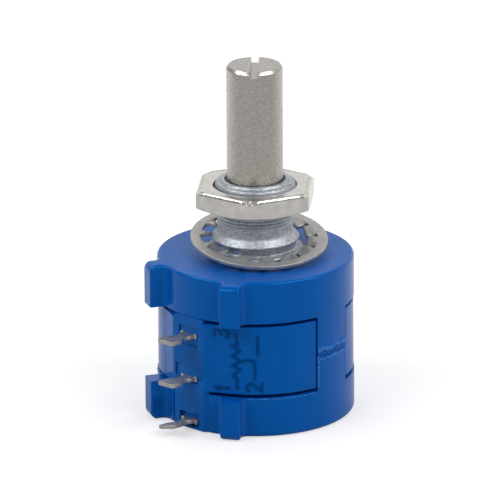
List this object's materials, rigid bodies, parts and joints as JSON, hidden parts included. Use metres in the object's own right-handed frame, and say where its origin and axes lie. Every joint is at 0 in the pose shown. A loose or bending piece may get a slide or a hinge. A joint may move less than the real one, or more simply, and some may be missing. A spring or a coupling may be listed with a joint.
{
  "type": "ten-turn panel potentiometer",
  "caption": "Round blue multi-turn potentiometer with a slotted shaft, threaded bushing with hexagon nut and lockwasher, and flat side solder lugs.",
  "frame": {"origin": "on the shaft axis, on the bushing seat that a panel rests against", "axes": "+Z along the shaft towards its slotted tip, -Y towards the solder lugs"},
  "size_m": [0.0222, 0.026, 0.0401],
  "materials": {
    "blue_moulding": "satin moulded blue",
    "bushing_plating": "turned, nickel plated brass",
    "nut_plating": "satin nickel plated brass",
    "zinc_steel": "zinc plated spring steel",
    "shaft_steel": "centreless ground, satin",
    "tinned_lug": "tinned",
    "contact_alloy": "bright",
    "resistance_wire": "close wound wire",
    "spring_steel": "phosphate grey",
    "dark_moulding": "moulded black",
    "bearing_bronze": "plain"
  },
  "bodies": {
    "housing": {"front_cover": "blue_moulding", "rear_cover": "blue_moulding", "element_housing": "blue_moulding", "bushing": "bushing_plating", "terminal_1": "tinned_lug", "terminal_2": "tinned_lug", "terminal_3": "tinned_lug", "end_clip_1": "contact_alloy", "end_clip_3": "contact_alloy", "resistance_element": "resistance_wire", "thrust_washer": "bearing_bronze", "slip_brush": "contact_alloy", "rear_bearing": "bearing_bronze"},
    "rotor": {"shaft": "shaft_steel", "rotor": "dark_moulding", "retaining_ring": "spring_steel", "collector_rod": "contact_alloy", "slip_ring": "contact_alloy"},
    "carriage": {"wiper_carriage": "dark_moulding", "wiper_contact": "contact_alloy", "collector_brush": "contact_alloy"},
    "nut": {"panel_nut": "nut_plating"},
    "washer": {"lockwasher": "zinc_steel"}
  },
  "joints": [
    {"name": "shaft_turn", "type": "hinge", "parent": "housing", "child": "rotor", "pos_m": [0, 0, 0], "axis": [0, 0, 1], "range_deg": [-1800, 1800]},
    {"name": "carriage_travel", "type": "slide", "parent": "rotor", "child": "carriage", "axis": [0, 0, 1], "range_m": [-0.005, 0.005]},
    {"name": "nut_travel", "type": "slide", "parent": "housing", "child": "nut", "axis": [0, 0, 1], "range_m": [-0.0012, 0.00307]},
    {"name": "washer_play", "type": "slide", "parent": "housing", "child": "washer", "axis": [0, 0, 1], "range_m": [0, 0.0005]}
  ],
  "couplings": [
    {"joint": "carriage_travel", "follows": "shaft_turn", "m_per_rad": 0.00015915}
  ]
}
